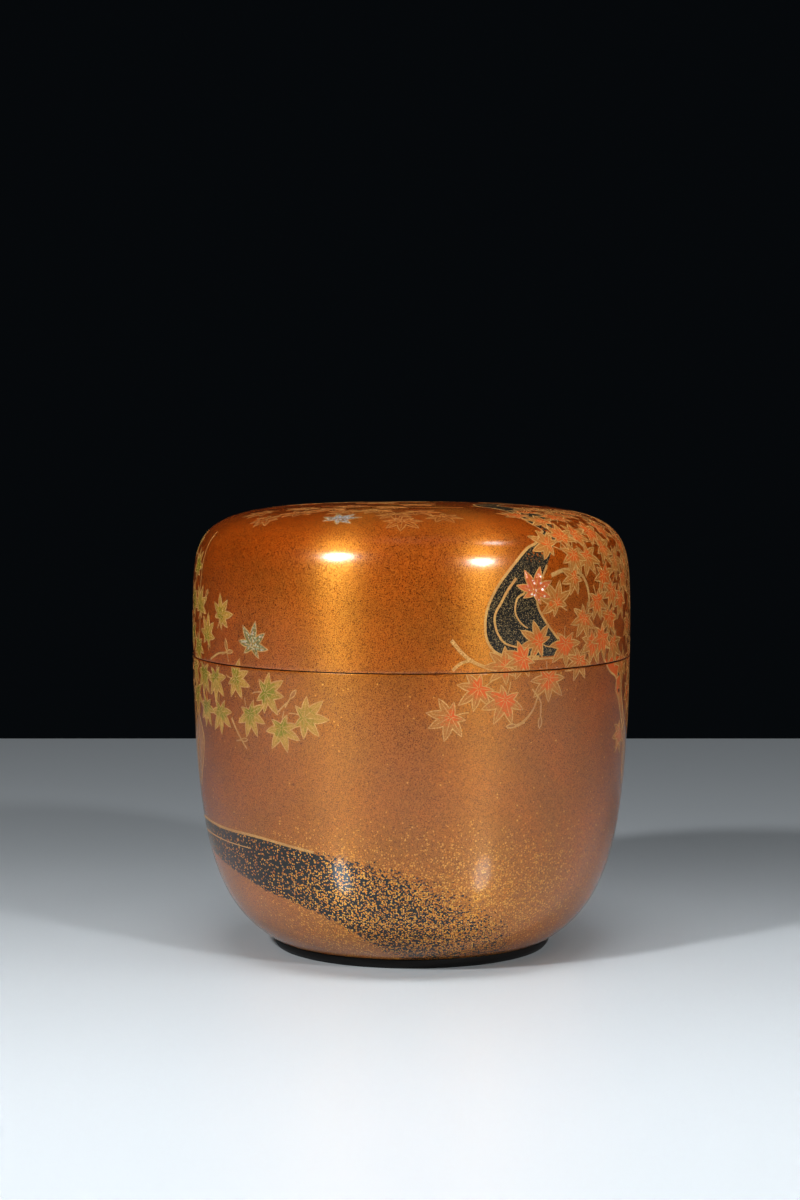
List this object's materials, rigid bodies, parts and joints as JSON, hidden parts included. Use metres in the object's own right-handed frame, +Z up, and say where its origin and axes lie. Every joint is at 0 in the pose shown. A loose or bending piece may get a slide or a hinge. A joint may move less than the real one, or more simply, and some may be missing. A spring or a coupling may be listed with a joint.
{
  "type": "lidded tea caddy",
  "caption": "Round lacquered tea caddy: a turned wooden cup with a bellied side and a small black foot, closed by a deep lift-off lid that slides down over the neck.",
  "frame": {"origin": "centre of the ring that the caddy stands on, in the plane of the table", "axes": "+Z up along the axis of the turned outline; -Y towards the side that the picture shows; +X to its right"},
  "size_m": [0.066, 0.066, 0.0668],
  "materials": {
    "wood_core": "lathe-turned, unvarnished under the lacquer",
    "hemp_cloth": "plain weave soaked in lacquer",
    "clay_ground": "lacquer filled with fired clay powder, ground flat",
    "gold_lacquer": "fine gold dust under clear amber lacquer, polished to a gloss",
    "black_lacquer": "black lacquer polished to a mirror gloss",
    "shell_inlay": "thin iridescent shell, polished",
    "gold_line": "sprinkled gold line, polished",
    "maple_leaf": "coloured powder and gold under clear lacquer"
  },
  "bodies": {
    "caddy_body": {"body_wood_core": "wood_core", "body_mouth_cloth": "hemp_cloth", "body_base_cloth": "hemp_cloth", "body_ground_coat": "clay_ground", "body_outer_lacquer": "gold_lacquer", "body_inner_lacquer": "black_lacquer", "neck_lacquer": "black_lacquer", "base_lacquer": "black_lacquer"},
    "lid": {"lid_wood_core": "wood_core", "lid_rim_cloth": "hemp_cloth", "lid_ground_coat": "clay_ground", "lid_outer_lacquer": "gold_lacquer", "lid_inner_lacquer": "black_lacquer", "lid_rim_lacquer": "black_lacquer", "lid_shell_leaf_left": "shell_inlay", "lid_shell_leaf_right": "shell_inlay", "lid_shell_leaf_top": "shell_inlay"}
  },
  "joints": [
    {"name": "lid_lift", "type": "slide", "parent": "caddy_body", "child": "lid", "axis": [0, 0, 1], "range_m": [0, 0.06]}
  ]
}
